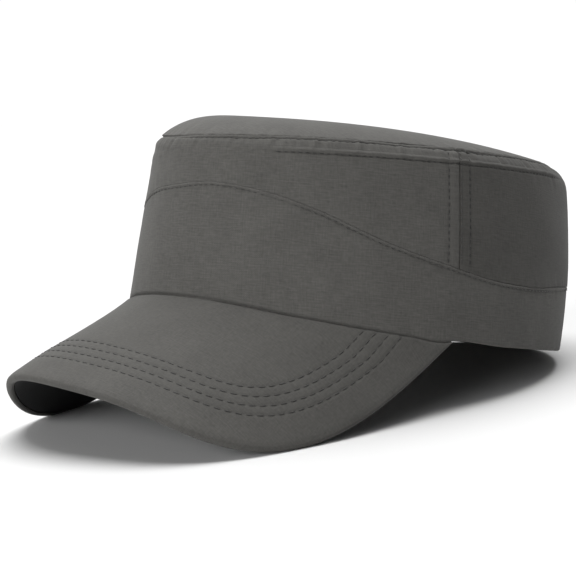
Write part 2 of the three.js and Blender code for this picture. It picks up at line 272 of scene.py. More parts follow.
def side_skin(angle, level):
    corner_soft = CORNER_ROUND * corner(angle) * np.clip(2 - level, 0, 1)
    soft = CREASE_ROUND + FRONT_ROUND * (1 - creased(angle)) + corner_soft
    weights = {-2: 1, -1: 2, 0: 3, 1: 2, 2: 1}
    total = 0
    for step, weight in weights.items():
        total = total + weight / 9 * sharp_side(angle, climb(angle, level, step * soft))
    return total


# %% The directions that the cloth faces, and the cap standing on the floor
def side_normal(angle, level):
    around = side_skin(angle + LOOK_AROUND, level) - side_skin(angle - LOOK_AROUND, level)
    above = side_skin(angle, climb(angle, level, LOOK_UP))
    below = side_skin(angle, climb(angle, level, -LOOK_UP))
    return unit(np.cross(around, above - below))


def top_normal(angle, radius):
    radius = np.maximum(radius, BESIDE_POLE)
    around = dome_point(angle + LOOK_AROUND, radius) - dome_point(angle - LOOK_AROUND, radius)
    inwards = dome_point(angle, radius - LOOK_IN) - dome_point(angle, radius + LOOK_IN)
    return unit(np.cross(around, inwards))


def stand(points):
    """From the level cap in millimetres to the standing cap in metres, never below the floor."""
    c = math.cos(math.radians(TIP_BACK))
    s = math.sin(math.radians(TIP_BACK))
    y = points[..., 1] * c + points[..., 2] * s + STAND_BACK
    z = -points[..., 1] * s + points[..., 2] * c + STAND_LIFT
    return np.stack([points[..., 0], y, np.maximum(z, 0)], -1) * MM


crease_in_front = side_skin(middle_of_front, middle_of_front + 1)
print("front of the crease stands at", stand(crease_in_front).round(4))

# %% [markdown]
# ## The bent sheet of the peak
# The peak is cut flat and bent round a cylinder that slopes down to the front. We therefore work
# in the flat pattern, along and forward, and bend each point. The edge is one squarish curve. A
# Simple Deform modifier could bend a flat sheet too, but stitches and stretched cloth need the same
# bend at any point, so it is a function.


# %% Bend the flat pattern
def wall_at(angle, height):
    angle = np.array([float(angle)])
    return wall_point(angle, height / crease_height(angle))[0]


def bend_drop(radius, x):
    return radius - np.sqrt(np.maximum(radius * radius - x * x, 0))


def peak_height(radius, x, y):
    slope = math.tan(math.radians(PEAK_PITCH))
    return PEAK_ROOT[2] + (y - PEAK_ROOT[1]) * slope - bend_drop(radius, x) / cosine(PEAK_PITCH)


SEARCH_ROUNDS = 12
JUNCTION_LIFT = {36: 0, 45: 0.012, 55: 0.027, 61: 0.038, 67: 0.04, 72: 0.027, 75: 0}
LIFT_EASE = (-4, -2, 0, 2, 4)
EDGE_POINTS = 1201
FOOT_POINTS = 401
PEAK_ROOT = wall_at(0, PEAK_FRONT_RISE)
tip_height = 0.0
for _ in range(SEARCH_ROUNDS):
    tip = wall_at(PEAK_END_ANGLE, tip_height)
    bend_radius = tip[0] / sine(PEAK_TIP_TURN)
    tip_height = peak_height(bend_radius, tip[0], tip[1])
half_width = bend_radius * math.radians(PEAK_TIP_TURN)
print("peak bent to radius", round(bend_radius, 1), "mm")


# %% Where the peak meets the crown
def junction_level(angle):
    """Where the peak's cylinder meets the wall."""
    level = np.zeros_like(angle)
    for _ in range(SEARCH_ROUNDS):
        place = wall_point(angle, level)
        level = peak_height(bend_radius, place[..., 0], place[..., 1]) / crease_height(angle)
    return level


def line_lift(angle):
    """How far up the wall the band's lower edge rides over the peak beside the temples."""
    to_front = np.abs((angle + 180) % 360 - 180)
    angles = list(JUNCTION_LIFT)
    shares = list(JUNCTION_LIFT.values())
    lifts = [np.interp(to_front + turn, angles, shares) for turn in LIFT_EASE]
    return sum(lifts) / len(LIFT_EASE)


print("beside the temples the seam rides up by", line_lift(67).round(3), "of the wall")


# %% From the crown to the flat pattern and back
def flat_place(place):
    """From a point on the cylinder to its place on the flat pattern."""
    drop = bend_drop(bend_radius, place[..., 0])
    along = bend_radius * np.arcsin(place[..., 0] / bend_radius)
    forward = (PEAK_ROOT[1] - place[..., 1] + drop * sine(PEAK_PITCH)) / cosine(PEAK_PITCH)
    return np.stack([along, forward], -1)


def peak_normal(flat):
    turn = flat[..., 0] / bend_radius
    tilt = np.cos(turn)
    return np.stack([np.sin(turn), -tilt * sine(PEAK_PITCH), tilt * cosine(PEAK_PITCH)], -1)


def peak_point(flat, rise):
    """From the flat pattern to the bent peak, rise millimetres above the sheet."""
    turn = flat[..., 0] / bend_radius
    x = bend_radius * np.sin(turn)
    drop = bend_drop(bend_radius, x)
    y = PEAK_ROOT[1] - flat[..., 1] * cosine(PEAK_PITCH) + drop * sine(PEAK_PITCH)
    z = PEAK_ROOT[2] - flat[..., 1] * sine(PEAK_PITCH) - drop * cosine(PEAK_PITCH)
    normal = peak_normal(flat)
    return np.stack([x, y, z], -1) + normal * np.asarray(rise)[..., None] + hand_bend(flat, normal)


END_LINE = flat_place(tip)[1]
print("ends of the peak lie", round(-END_LINE, 1), "mm behind its middle")


# %% The outer edge, and the line where the peak is sewn on
def peak_edge(turn):
    across = np.abs(sine(turn) / half_width) ** PEAK_SQUARENESS
    ahead = np.abs(cosine(turn) / (PEAK_LENGTH - END_LINE)) ** PEAK_SQUARENESS
    reach = (across + ahead) ** (-1 / PEAK_SQUARENESS)
    return np.stack([reach * sine(turn), END_LINE + reach * cosine(turn)], -1)


edge_line = peak_edge(np.linspace(-90, 90, EDGE_POINTS))
foot_angles = np.linspace(-PEAK_END_ANGLE, PEAK_END_ANGLE, FOOT_POINTS)
foot_levels = junction_level(foot_angles)
foot_line = flat_place(wall_point(foot_angles, foot_levels))
lifted_foot = wall_point(foot_angles, foot_levels + line_lift(foot_angles))
foot_shift = lifted_foot - wall_point(foot_angles, foot_levels)
edge_steps = np.linalg.norm(np.diff(edge_line, axis=0), axis=1)
edge_travel = np.concatenate([[0], np.cumsum(edge_steps)])
print("outer edge of the peak is", round(edge_travel[-1]), "mm long")

# %% [markdown]
# A wearer bends a peak by hand, so it is never quite a cylinder. In the photograph the corner on
# the wearer's right is pushed up and forwards by a few millimetres. The table gives, at some
# shares of the half width, the shift to the left, to the back, and square to the sheet.

# %% The bend that hands gave it
HAND_BEND = {-1.0: (1.4, 2.4, 0.8), -0.8: (0.7, 0.7, -1.0), -0.6: (0.4, 0, -1.1),
             -0.4: (0, -0.2, 3.1), -0.2: (-1.2, -2.1, 2.5), 0.0: (-1.3, -2.0, -0.6),
             0.2: (-0.8, -0.6, -0.1), 0.4: (-0.4, 0.6, 1.8)}
BEND_REACH = 0.25
LIFT_REACH = 16


def hand_bend(flat, normal):
    along, forward = flat[..., 0], flat[..., 1]
    foot = np.interp(along, foot_line[:, 0], foot_line[:, 1])
    outer = np.interp(along, edge_line[:, 0], edge_line[:, 1])
    share = np.clip((forward - foot) / np.maximum(outer - foot, 1), 0, 1)
    places = np.array(list(HAND_BEND))
    shifts = np.array(list(HAND_BEND.values()))
    weights = np.exp(-(((along / half_width)[..., None] - places) / BEND_REACH) ** 2)
    shift = weights @ shifts * (share * share * (3 - 2 * share))[..., None]
    bend = shift * np.array([1, 1, 0]) + normal * shift[..., 2:]
    lift = [np.interp(along, foot_line[:, 0], foot_shift[:, axis]) for axis in range(3)]
    near = np.clip(1 - (forward - foot) / LIFT_REACH, 0, 1)
    return bend + np.stack(lift, -1) * (near * near * (3 - 2 * near))[..., None]


far_corner = np.array([-0.4 * half_width, PEAK_LENGTH])
print("far corner moves by", hand_bend(far_corner, peak_normal(far_corner)).round(1), "mm")

# %% [markdown]
# ## From a grid to a sewn piece of cloth
# Each piece starts as Blender's grid, like a rectangle of cloth. We lay its outer skin on the
# pattern, weld the rows that shrink to one pole, give it a wall with Solidify, and lay the inner
# skin too. Blender could also sew and drape flat cloth by simulation, but then no seam would lie
# where the photograph has it. A UV map named cloth keeps each point's place on the flat cloth, so
# the weave follows the grain.

# %% One function makes every piece of cloth
UV_UNIT = 100
WELD = 2e-5
SMOOTH_ANGLE = math.radians(60)


def cloth_piece(name, outer, inner, flat, node, pole=False):
    """outer and inner are grids of points in metres, flat their places on the flat cloth."""
    rows, columns = outer.shape[:2]
    bpy.ops.object.select_all(action="DESELECT")
    bpy.ops.mesh.primitive_grid_add(x_subdivisions=columns - 1, y_subdivisions=rows - 1, size=1)
    piece = bpy.context.object
    piece.name = name
    mesh = piece.data
    mesh.name = name
    corners = np.empty(len(mesh.vertices) * 3)
    mesh.vertices.foreach_get("co", corners)
    corners = corners.reshape(-1, 3)
    column = np.rint((corners[:, 0] + 0.5) * (columns - 1)).astype(int)
    row = np.rint((corners[:, 1] + 0.5) * (rows - 1)).astype(int)
    place = row * columns + column
    mesh.attributes.new("place", "INT", "POINT").data.foreach_set("value", place)
    mesh.vertices.foreach_set("co", outer.reshape(-1, 3)[place].ravel())
    loops = np.empty(len(mesh.loops), int)
    mesh.loops.foreach_get("vertex_index", loops)
    uv_map = mesh.uv_layers[0]
    uv_map.name = "cloth"
    uv_map.data.foreach_set("uv", (flat.reshape(-1, 2)[place][loops] / UV_UNIT).ravel())
    if pole:
        bpy.ops.object.mode_set(mode="EDIT")
        bpy.ops.mesh.select_all(action="SELECT")
        bpy.ops.mesh.remove_doubles(threshold=WELD)
        bpy.ops.object.mode_set(mode="OBJECT")
    wall = piece.modifiers.new("wall", "SOLIDIFY")
    wall.thickness = WALL * MM / 2
    wall.offset = -1
    bpy.ops.object.modifier_apply(modifier="wall")
    mesh = piece.data
    place = np.empty(len(mesh.vertices), int)
    mesh.attributes["place"].data.foreach_get("value", place)
    half = len(place) // 2
    skins = [outer.reshape(-1, 3)[place[:half]], inner.reshape(-1, 3)[place[half:]]]
    mesh.vertices.foreach_set("co", np.concatenate(skins).ravel())
    mesh.attributes.remove(mesh.attributes["place"])
    mesh.update()
    bpy.ops.object.shade_smooth_by_angle(angle=SMOOTH_ANGLE)
    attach(piece, "root")
    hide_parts(node)
    print(name, "has", len(mesh.polygons), "faces")
    return piece


# %% Spacing: close together beside a seam, a millimetre apart elsewhere
BESIDE_SEAM = np.array([0, 0.12, 0.3, 0.55, 0.85, 1.2, 1.5, 1.75, 1.95, 2.15, 2.4, 2.8, 3.4, 4.2])
BESIDE_SIDE = np.array([0, 0.12, 0.3, 0.55, 0.85, 1.2, 1.8, 2.6, 3.5, 4.3, 4.8, 5.1, 5.4, 5.7, 6,
                        6.6, 7.5])
CLOTH_STEP = 1.05


def spaced(low, high, scale, beside=BESIDE_SEAM):
    """Rows from low to high, with one column for each entry of low; scale is millimetres a unit."""
    near = beside[:, None] / scale
    longest = float(np.max((high - low) * scale)) - 2 * beside[-1]
    count = max(int(longest / CLOTH_STEP), 2)
    share = (np.arange(1, count) / count)[:, None]
    bottom = low + near
    top = high - near[::-1]
    return np.concatenate([bottom, mix(bottom[-1:], top[:1], share), top])


# %% [markdown]
# ## Relief: what sewing does to cloth
# A seam turns both edges inwards, so it shows as a dark groove between two soft rolls. A row of
# stitches pulls the cloth down in a narrow trench, deepest at each needle hole, and the allowance
# between seam and stitches stands up like a cord. The thread also shortens the cloth a little,
# which makes small puckers across the row. These are all functions of the distance to a line.

# %% Waves in the cloth
# Each kind has its height in millimetres, its lean, its wavelengths in millimetres and its seed.
# The curved seam puckers the cloth above and below alike, so those two share waves and seed.
WAVES = {"gathers": (0.38, 0.45, (3.1, 4.7, 6.3, 9.7), 3),
         "below crease": (0.1, -0.3, (6.1, 9.3, 14.7), 5),
         "above curved seam": (0.1, 0.4, (4.3, 6.9, 11.1), 7),
         "below curved seam": (0.12, 0.4, (4.3, 6.9, 11.1), 7),
         "beside side seam": (0.08, 0.3, (4.1, 6.7, 10.3), 9),
         "above rim": (0.12, 0.2, (9.1, 14.3, 23), 11),
         "inside top seam": (0.16, 0.5, (5.3, 8.1, 12.7), 13),
         "across top": (0.3, 0, (71, 43), 15),
         "round crown": (0.35, 0.6, (61, 83, 47), 21),
         "up crown": (1, -0.3, (55, 92), 22),
         "between peak rows": (0.05, 0.5, (3.7, 5.1, 8.3), 30),
         "along peak": (0.12, 0, (57, 83), 41),
         "down peak": (1, 0, (37, 61), 42),
         "along under cloth": (0.12, 0, (31, 47), 51),
         "down under cloth": (1, 0, (23, 41), 52)}
# Puckers are full beside their seam and are gone at the second distance, in millimetres.
PUCKER_REACH = {"below crease": (0.5, 9), "above curved seam": (0.5, 8),
                "below curved seam": (1, 9), "beside side seam": (4, 9), "above rim": (1, 10),
                "inside top seam": (0.5, 10)}


def ripple(kind, along, away=0, number=0):
    """A smooth irregular wave; number gives each of several rows its own."""
    height, lean, wavelengths, seed = WAVES[kind]
    dice = np.random.default_rng(seed + number)
    place = along + lean * away
    total = 0
    for wavelength in wavelengths:
        total = total + np.sin(2 * np.pi * place / wavelength + dice.uniform(0, 2 * np.pi))
    return height * total / math.sqrt(len(wavelengths) * 2)


def fade(distance, start, end):
    share = np.clip((distance - start) / (end - start), 0, 1)
    return 1 - share * share * (3 - 2 * share)


def puckers(kind, along, away):
    """The wave along a seam, dying out away from it."""
    return fade(np.abs(away), *PUCKER_REACH[kind]) * ripple(kind, along, away)


print("kinds of waves:", len(WAVES))

# %% Relief beside a line
ROLL = 0.55
ROLL_OF_RIM = 1.0
CURVED_ROLL = 0.35
SIDE_ROLL = 0.7
PRESSED_ANGLE = -22
PRESSED_SPREAD = 25
SEAM_CLOSED = 0.35
SEAM_OPENS = 30


def roll(distance, radius=ROLL):
    """How far an edge has turned inwards, as a quarter circle."""
    inside = np.clip(1 - np.abs(distance) / radius, 0, 1)
    return radius * (1 - np.sqrt(1 - inside * inside))


def trench(distance, width):
    return np.exp(-((distance / width) ** 2))


def cushion(distance, width):
    share = np.clip(distance / width, 0, 1)
    return np.sin(np.pi * share)


def pressed(angle):
    """How open the top seam is: it lies flat where the front corner is stretched smooth."""
    return 1 - bump_at(angle, PRESSED_ANGLE, PRESSED_SPREAD)


def seam_line(angle):
    """How open the curved seam is: nearly closed in front, open beside the ears."""
    to_front = np.abs((angle + 180) % 360 - 180)
    return mix(SEAM_CLOSED, 1, np.clip(to_front / SEAM_OPENS - 0.5, 0, 1))


# %% Lengths along the crown, and the stitch rows that it has
STITCH = 2.8
PEAK_STITCH = 4.1
TOP_ROW = 2.1
CURVED_ROW = 1.35
SIDE_ROW = 5.4
SIDE_EDGE = 0.6
CREASE_ROW = 0.35
TOP_ROW_STARTS = 2
TOP_ROW_ENDS = 290
GIRTH_LEVEL = 0.6
ring_angles = np.linspace(-360, 720, 2161)
ring_points = wall_point(ring_angles, np.full_like(ring_angles, GIRTH_LEVEL))
ring_steps = np.linalg.norm(np.diff(ring_points, axis=0), axis=1)
ring_travel = np.concatenate([[0], np.cumsum(ring_steps)])
ring_travel -= np.interp(0, ring_angles, ring_travel)


def travel(angle):
    """Millimetres round the crown from the middle of the front."""
    return np.interp(angle, ring_angles, ring_travel)


def seam_stretch(angle):
    """How much longer the way straight up is than the way square to the curved seam."""
    slope = (curved_seam(angle + 1) - curved_seam(angle - 1)) * crease_height(angle)
    slope = slope / (travel(angle + 1) - travel(angle - 1))
    return np.sqrt(1 + slope * slope)


def from_curved_seam(angle, level):
    """Distance up from the curved seam, square to it."""
    return (level - curved_seam(angle)) * crease_height(angle) / seam_stretch(angle)


def from_side_seam(angle, level):
    """Distance back from the nearer side seam, along the cloth."""
    to_front = np.abs((angle + 180) % 360 - 180)
    return travel(to_front) - travel(side_seam(level))


print("girth of the crown is", round(travel(360)), "mm")


# %% Relief of the panels above the curved seam
# For each row: its distance from the seam, the height of the cord between the two, and the depth
# and width of the trench under the thread, all in millimetres.
ROWS = {"top": (TOP_ROW, 0.28, 0.3, 0.45), "side": (SIDE_ROW, 0.3, 0.18, 0.6),
        "curved": (CURVED_ROW, 0.28, 0.16, 0.5)}
FOLD_RISE = 0.4
FOLD_WIDTH = 2.2
FOLD_OVERHANG = 0.3
CREASE_TRENCH = 0.45
CREASE_TRENCH_WIDTH = 0.5
GATHERS_IN_FRONT = 0.6


def stitch_row(kind, distance):
    row, rise, depth, width = ROWS[kind]
    return rise * cushion(distance, row) - depth * trench(distance - row, width)


def panel_relief(angle, level):
    height = crease_height(angle)
    above_seam = from_curved_seam(angle, level)
    below_top = (2 - level) * SHOULDER_SLANT
    below_crease = np.where(level < 1, (1 - level) * height, (1 - level) * SHOULDER_SLANT)
    side = from_side_seam(angle, level)
    along = travel(angle)
    sharp = creased(angle)
    open_top = pressed(angle)
    relief = -roll(above_seam, CURVED_ROLL) * seam_line(angle)
    relief -= roll(below_top) * open_top + roll(side, SIDE_ROLL)
    relief += stitch_row("top", below_top) * open_top + stitch_row("side", np.abs(side))
    relief += FOLD_RISE * sharp * cushion(FOLD_OVERHANG - below_crease, FOLD_WIDTH)
    relief -= CREASE_TRENCH * sharp * trench(below_crease - CREASE_ROW, CREASE_TRENCH_WIDTH)
    strip = cushion(below_top, SHOULDER_SLANT)
    relief += strip * ripple("gathers", along, below_top) * mix(GATHERS_IN_FRONT, 1, sharp)
    relief += puckers("below crease", along, below_crease) * (level < 1)
    relief += puckers("above curved seam", along, above_seam)
    relief += puckers("beside side seam", level * height, side)
    return relief + slack(angle, level)


def slack(angle, level):
    """The slow unevenness of soft cloth."""
    along = travel(angle)
    up = level * FRONT_HEIGHT
    return ripple("round crown", along, up) * ripple("up crown", up, along)


# %% [markdown]
# ## The two wall panels
# One panel covers the front between the side seams, and one goes round the back. On the real cap
# each is cut flat and sewn. Both share the crease and the shoulder strip, so one function makes
# them. Their rows are spaced along the cloth, and their edges roll inwards at every seam. The
# lower edge has to be found in a few rounds, because the side seam leans.


# %% Front panel and back panel
EDGE_ROUNDS = 6


def wall_panel(name, start, end, width_mm):
    scale = width_mm / (end - start)
    columns = spaced(np.array([start]), np.array([end]), scale, BESIDE_SIDE)[:, 0]
    low = np.zeros_like(columns)
    for _ in range(EDGE_ROUNDS):
        low = curved_seam(panel_angle(columns, low))
    wall_rows = spaced(low, np.ones_like(low), crease_height(panel_angle(columns, low)))
    shoulder_rows = spaced(0 * low, 0 * low + 1, SHOULDER_SLANT, BESIDE_SEAM[:-1])[1:] + 1
    levels = np.concatenate([wall_rows, shoulder_rows])
    angles = panel_angle(np.broadcast_to(columns, levels.shape), levels)
    base = side_skin(angles, levels)
    normal = side_normal(angles, levels)
    outer = base + normal * panel_relief(angles, levels)[..., None]
    turned = roll(from_curved_seam(angles, levels)) + roll((2 - levels) * SHOULDER_SLANT)
    turned = np.minimum(turned + roll(from_side_seam(angles, levels)), ROLL)
    inner = base - normal * (WALL - turned)[..., None]
    height = crease_height(angles)
    up = np.where(levels < 1, levels * height, height + (levels - 1) * SHOULDER_SLANT)
    flat = np.stack([travel(angles), up], -1)
    node = name.removesuffix("_cloth")
    piece = cloth_piece(name, stand(outer), stand(inner), flat, node)
    return piece


def panel_angle(column, level):
    """Columns -1 to 1 lie between the side seams in front, and 1 to 3 go round the back."""
    seam = side_seam(level)
    back = seam + (column - 1) * (180 - seam)
    return np.where(column <= 1, column * seam, back)


front_width = travel(SIDE_SEAM_ANGLE) * 2
front_panel = wall_panel("front_panel_cloth", -1, 1, front_width)
back_panel = wall_panel("back_panel_cloth", 1, 3, travel(360) - front_width)

# %% [markdown]
# ## The band
# The band is a closed ring below the curved seam. Its lower edge follows the peak in front, then
# comes down to the free rim. The allowance of the curved seam is pressed into it and top-stitched,
# so its upper edge stands up like a thin cord. Its two ends meet at the middle of the back.


# %% Band
BAND_COLUMNS = 520


def band_foot(angle):
    from_front = np.abs((angle + 180) % 360 - 180)
    free = 1 - fade(from_front, PEAK_END_ANGLE, PEAK_END_ANGLE + RIM_EASE)
    beside_peak = np.minimum(from_front, PEAK_END_ANGLE)
    return (junction_level(beside_peak) + line_lift(beside_peak)) * (1 - free)


def band_relief(angle, level):
    height = crease_height(angle)
    below_seam = -from_curved_seam(angle, level)
    above_foot = (level - band_foot(angle)) * height
    along = travel(angle)
    relief = -roll(below_seam, CURVED_ROLL) * seam_line(angle) - roll(above_foot, ROLL_OF_RIM)
    relief += stitch_row("curved", below_seam)
    relief += puckers("below curved seam", along, -below_seam)
    relief += puckers("above rim", along, above_foot)
    return relief + slack(angle, level)


columns = np.linspace(180, 540, BAND_COLUMNS)
foot = band_foot(columns)
levels = spaced(foot, curved_seam(columns), crease_height(columns))
angles = np.broadcast_to(columns, levels.shape)
base = side_skin(angles, levels)
normal = side_normal(angles, levels)
above_foot = (levels - foot) * crease_height(columns)
turned = roll(from_curved_seam(angles, levels)) + roll(above_foot, ROLL_OF_RIM)
outer = base + normal * band_relief(angles, levels)[..., None]
inner = base - normal * (WALL - turned)[..., None]
flat = np.stack([travel(angles), levels * crease_height(angles)], -1)
band = cloth_piece("band_cloth", stand(outer), stand(inner), flat, "band")

# %% [markdown]
# ## The domed top
# The top is one oval of cloth. The grid's columns go round it and its rows run to the middle,
# where they are welded to one pole. The first and the last column meet at the middle of the back.
# Its cloth is flat-cut, so its grain runs straight across.

# %% Top
TOP_COLUMNS = 420
TOP_ROWS = 56
TOP_FADE = (60, 20)
POLE_FADE = 8
columns = np.linspace(180, 540, TOP_COLUMNS)
reach = CREASE_WIDTH / 2
near = 1 - BESIDE_SEAM / reach
far = np.linspace(near[-1], 0, TOP_ROWS)[1:]
rings = np.concatenate([near, far])
radii = np.broadcast_to(rings[:, None], (len(rings), TOP_COLUMNS))
angles = np.broadcast_to(columns, radii.shape)


def top_relief(angle, radius):
    inside = (1 - radius) * reach
    along = travel(angle)
    relief = -roll(inside) * pressed(angle)
    relief += puckers("inside top seam", along, inside)
    relief += ripple("across top", radius * reach * sine(angle)) * fade(inside, *TOP_FADE)
    return relief * np.minimum(1, radius * POLE_FADE)


base = dome_point(angles, radii)
normal = top_normal(angles, radii)
outer = base + normal * top_relief(angles, radii)[..., None]
inner = base - normal * (WALL - roll((1 - radii) * reach))[..., None]
outer[-1] = outer[-1].mean(0)
inner[-1] = inner[-1].mean(0)
flat = base[..., :2]
crown_top = cloth_piece("crown_top_cloth", stand(outer), stand(inner), flat, "crown_top",
                        pole=True)

# %% [markdown]
# ## The peak
# A board inside keeps the peak stiff, and the cloth is pulled tight over it and rolled round the
# edge. Four rows of stitches run parallel to the edge and quilt the cloth to the board. The rolled
# edge is half a circle of rows, and each column of the grid runs from the edge to the crown.

# %% Peak
ROW_MARGIN = 13.9
ROW_SPACING = 4.04
ROW_COUNT = 4
PEAK_COLUMNS = 300
ROLL_ROWS = 7
TUCK = 1.2
GROOVE_DEPTH = 0.9
GROOVE_WIDTH = 1.1
ROW_DEPTH = 0.2
ROW_WIDTH = 0.55
QUILT_WIDTH = 1.3
ROWS_RISE = 0.1
ROWS_SPREAD = 6
EDGE_RISE = 0.12
EDGE_RISE_ENDS = (3, 8)
EDGE_RISE_STARTS = (-3, -1.5)
EDGE_FADE = (-1.5, 0.5)
BATCH = 4000
row_distances = ROW_MARGIN + ROW_SPACING * np.arange(ROW_COUNT)


def edge_distance(flat):
    """Distance from the outer edge, and how far along the edge the nearest point is."""
    points = flat.reshape(-1, 2)
    distance = np.empty(len(points))
    nearest = np.empty(len(points), int)
    for start in range(0, len(points), BATCH):
        part = points[start:start + BATCH]
        gaps = np.hypot(part[:, None, 0] - edge_line[:, 0], part[:, None, 1] - edge_line[:, 1])
        nearest[start:start + BATCH] = gaps.argmin(1)
        distance[start:start + BATCH] = gaps.min(1)
    return distance.reshape(flat.shape[:-1]), edge_travel[nearest].reshape(flat.shape[:-1])


def peak_relief(flat):
    inside, along = edge_distance(flat)
    relief = EDGE_RISE * fade(inside, *EDGE_RISE_ENDS) * fade(-inside, *EDGE_RISE_STARTS)
    for number, row in enumerate(row_distances):
        relief -= ROW_DEPTH * trench(inside - row, ROW_WIDTH)
        crossing = ripple("between peak rows", along, inside - row, number)
        relief += trench(inside - row - ROW_SPACING / 2, QUILT_WIDTH) * crossing
    relief += ROWS_RISE * trench(inside - row_distances.mean(), ROWS_SPREAD)
    relief += ripple("along peak", flat[..., 0]) * ripple("down peak", flat[..., 1])
    ahead = flat[..., 1] - np.interp(flat[..., 0], foot_line[:, 0], foot_line[:, 1])
    relief -= GROOVE_DEPTH * trench(ahead, GROOVE_WIDTH)
    return relief * fade(-inside, *EDGE_FADE)


def peak_columns(count, span):
    """Both ends of each column, at the outer edge and at the crown, and its length."""
    share = np.linspace(-span, span, count)
    foot_angle = PEAK_END_ANGLE * share
    edge = peak_edge(90 * share)
    join = flat_place(wall_point(foot_angle, junction_level(foot_angle)))
    length = np.linalg.norm(join - edge, axis=-1)
    return edge, join, length


def on_column(edge, join, length, distance):
    return mix(edge, join, (distance / length)[..., None])


print("stitch rows lie", row_distances.round(1), "mm inside the edge")

# %% The cloth round the board
PEAK_SPAN = 0.988
LIP_OF_SHORT_COLUMN = 0.6
ROLL_STARTS = 6
LIP_STEP = 0.25
SHEET_ROWS = 116
edge, join, length = peak_columns(PEAK_COLUMNS, PEAK_SPAN)
squeeze = np.minimum(1, LIP_OF_SHORT_COLUMN * length / (LIP_WIDTH + 2 * SEAM_GAP))
half_lip = LIP_DEPTH / 2
turns = np.linspace(ROLL_STARTS, 90, ROLL_ROWS)[:, None]
roll_in = half_lip * (1 - cosine(turns)) * squeeze
lip = np.array([[LIP_WIDTH], [LIP_WIDTH + LIP_STEP]]) * squeeze
shares = np.arange(1, SHEET_ROWS + 1)[:, None] / SHEET_ROWS
sheet = mix(lip[-1:], length + TUCK * squeeze, shares)
distance = np.concatenate([roll_in, lip, sheet])
flat = on_column(edge, join, length, distance)
above = np.concatenate([half_lip - half_lip * sine(turns), 0 * lip[:, :1], 0 * sheet[:, :1]])
below = np.concatenate([half_lip + half_lip * sine(turns), [[LIP_DEPTH], [PEAK_BOARD]],
                        PEAK_BOARD + 0 * sheet[:, :1]])
outer = peak_point(flat, peak_relief(flat) - above)
inner = peak_point(flat, -below + 0 * distance)
peak = cloth_piece("peak_cloth", stand(outer), stand(inner), flat, "peak")

# %% [markdown]
# ## The cloth under the peak, painted nearly black as shade
# Underneath, a second cloth ends just inside the rolled edge; it is painted nearly black, as painted
# shade for the peak's underside. It lies on the same cylinder, so it comes from the same columns,
# started a little further in and one board lower.

# %% The cloth under the peak, painted nearly black as shade
UNDER_REACH = 0.9
UNDER_COLUMNS = 200
UNDER_ROWS = 40
edge, join, length = peak_columns(UNDER_COLUMNS, UNDER_REACH)
start = LIP_WIDTH + 2 * SEAM_GAP
distance = mix(start, length, np.linspace(0, 1, UNDER_ROWS)[:, None])
flat = on_column(edge, join, length, distance)
under_waves = ripple("along under cloth", flat[..., 0]) * ripple("down under cloth", flat[..., 1])
outer = peak_point(flat, -PEAK_BOARD - SEAM_GAP + 0 * distance)
inner = peak_point(flat, -LIP_DEPTH + under_waves)
peak_under = cloth_piece("peak_under_cloth", stand(outer), stand(inner), flat, "peak_under")

# %% [markdown]
# ## Stitches
# A lockstitch shows as a row of short lengths of thread, each diving into the cloth at both ends.
# A dashed line in the material could only be flat. One stitch is modelled once, as a slim round
# body with few faces, and is repeated along each row, so that every stitch catches the light.

# %% One stitch, and a function that sews a row
THREAD = 0.5
STITCH_GAP = 0.9
STITCH_LIFT = 0.25
STITCH_SIDES = 8
STITCH_RINGS = 6
STITCH_TURN = 0.05
LOOK_ALONG = 0.5
bpy.ops.object.select_all(action="DESELECT")
bpy.ops.mesh.primitive_uv_sphere_add(segments=STITCH_SIDES, ring_count=STITCH_RINGS, radius=0.5)
pattern = bpy.context.object
bpy.ops.object.mode_set(mode="EDIT")
bpy.ops.mesh.select_all(action="SELECT")
bpy.ops.transform.rotate(value=math.radians(90), orient_axis="Y", center_override=(0, 0, 0))
bpy.ops.transform.resize(value=(STITCH - STITCH_GAP, THREAD, THREAD), center_override=(0, 0, 0))
bpy.ops.object.mode_set(mode="OBJECT")
stitch_points = np.array([vertex.co for vertex in pattern.data.vertices])
stitch_faces = [tuple(face.vertices) for face in pattern.data.polygons]
bpy.data.objects.remove(pattern)
print("one stitch has", len(stitch_faces), "faces")


def resample(points, normals, pitch):
    """Points and normals at equal steps along a row, with its directions."""
    lengths = np.concatenate([[0], np.cumsum(np.linalg.norm(np.diff(points, axis=0), axis=1))])
    count = max(int(lengths[-1] / pitch), 1)
    marks = (np.arange(count) + 0.5) * lengths[-1] / count

    def at(marks, values):
        return np.stack([np.interp(marks, lengths, values[:, axis]) for axis in range(3)], -1)

    ahead = at(marks + LOOK_ALONG, points) - at(marks - LOOK_ALONG, points)
    return at(marks, points), unit(at(marks, normals)), unit(ahead)


def sew(name, rows, pitch):
    """rows is a list of (points, normals) of the level cap, in millimetres."""
    all_points = []
    all_faces = []
    dice = np.random.default_rng(len(name))
    for points, normals in rows:
        for place, facing, ahead in zip(*resample(points, normals, pitch)):
            side = np.cross(facing, ahead)
            ahead = ahead + side * dice.uniform(-STITCH_TURN, STITCH_TURN)
            start = len(all_points) * len(stitch_points)
            turned = stitch_points * [pitch / STITCH, 1, 1] @ np.stack([ahead, side, facing])
            all_points.append(place + facing * THREAD * STITCH_LIFT + turned)
            all_faces += [tuple(point + start for point in face) for face in stitch_faces]
    mesh = bpy.data.meshes.new(name)
    mesh.from_pydata(stand(np.concatenate(all_points)), [], all_faces)
    piece = bpy.data.objects.new(name, mesh)
    bpy.context.collection.objects.link(piece)
    mesh.shade_smooth()
    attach(piece, "root")
    print(name, "has", len(all_points), "stitches")
    return piece


# %% Rows on the crown
CURVED_ROW_POINTS = 1441
TOP_ROW_POINTS = 1301
SHORT_ROW_POINTS = 401


def crown_row(angle, level, relief):
    """Points on the finished cloth, and the directions that they face."""
    normal = side_normal(angle, level)
    return side_skin(angle, level) + normal * relief(angle, level)[..., None], normal


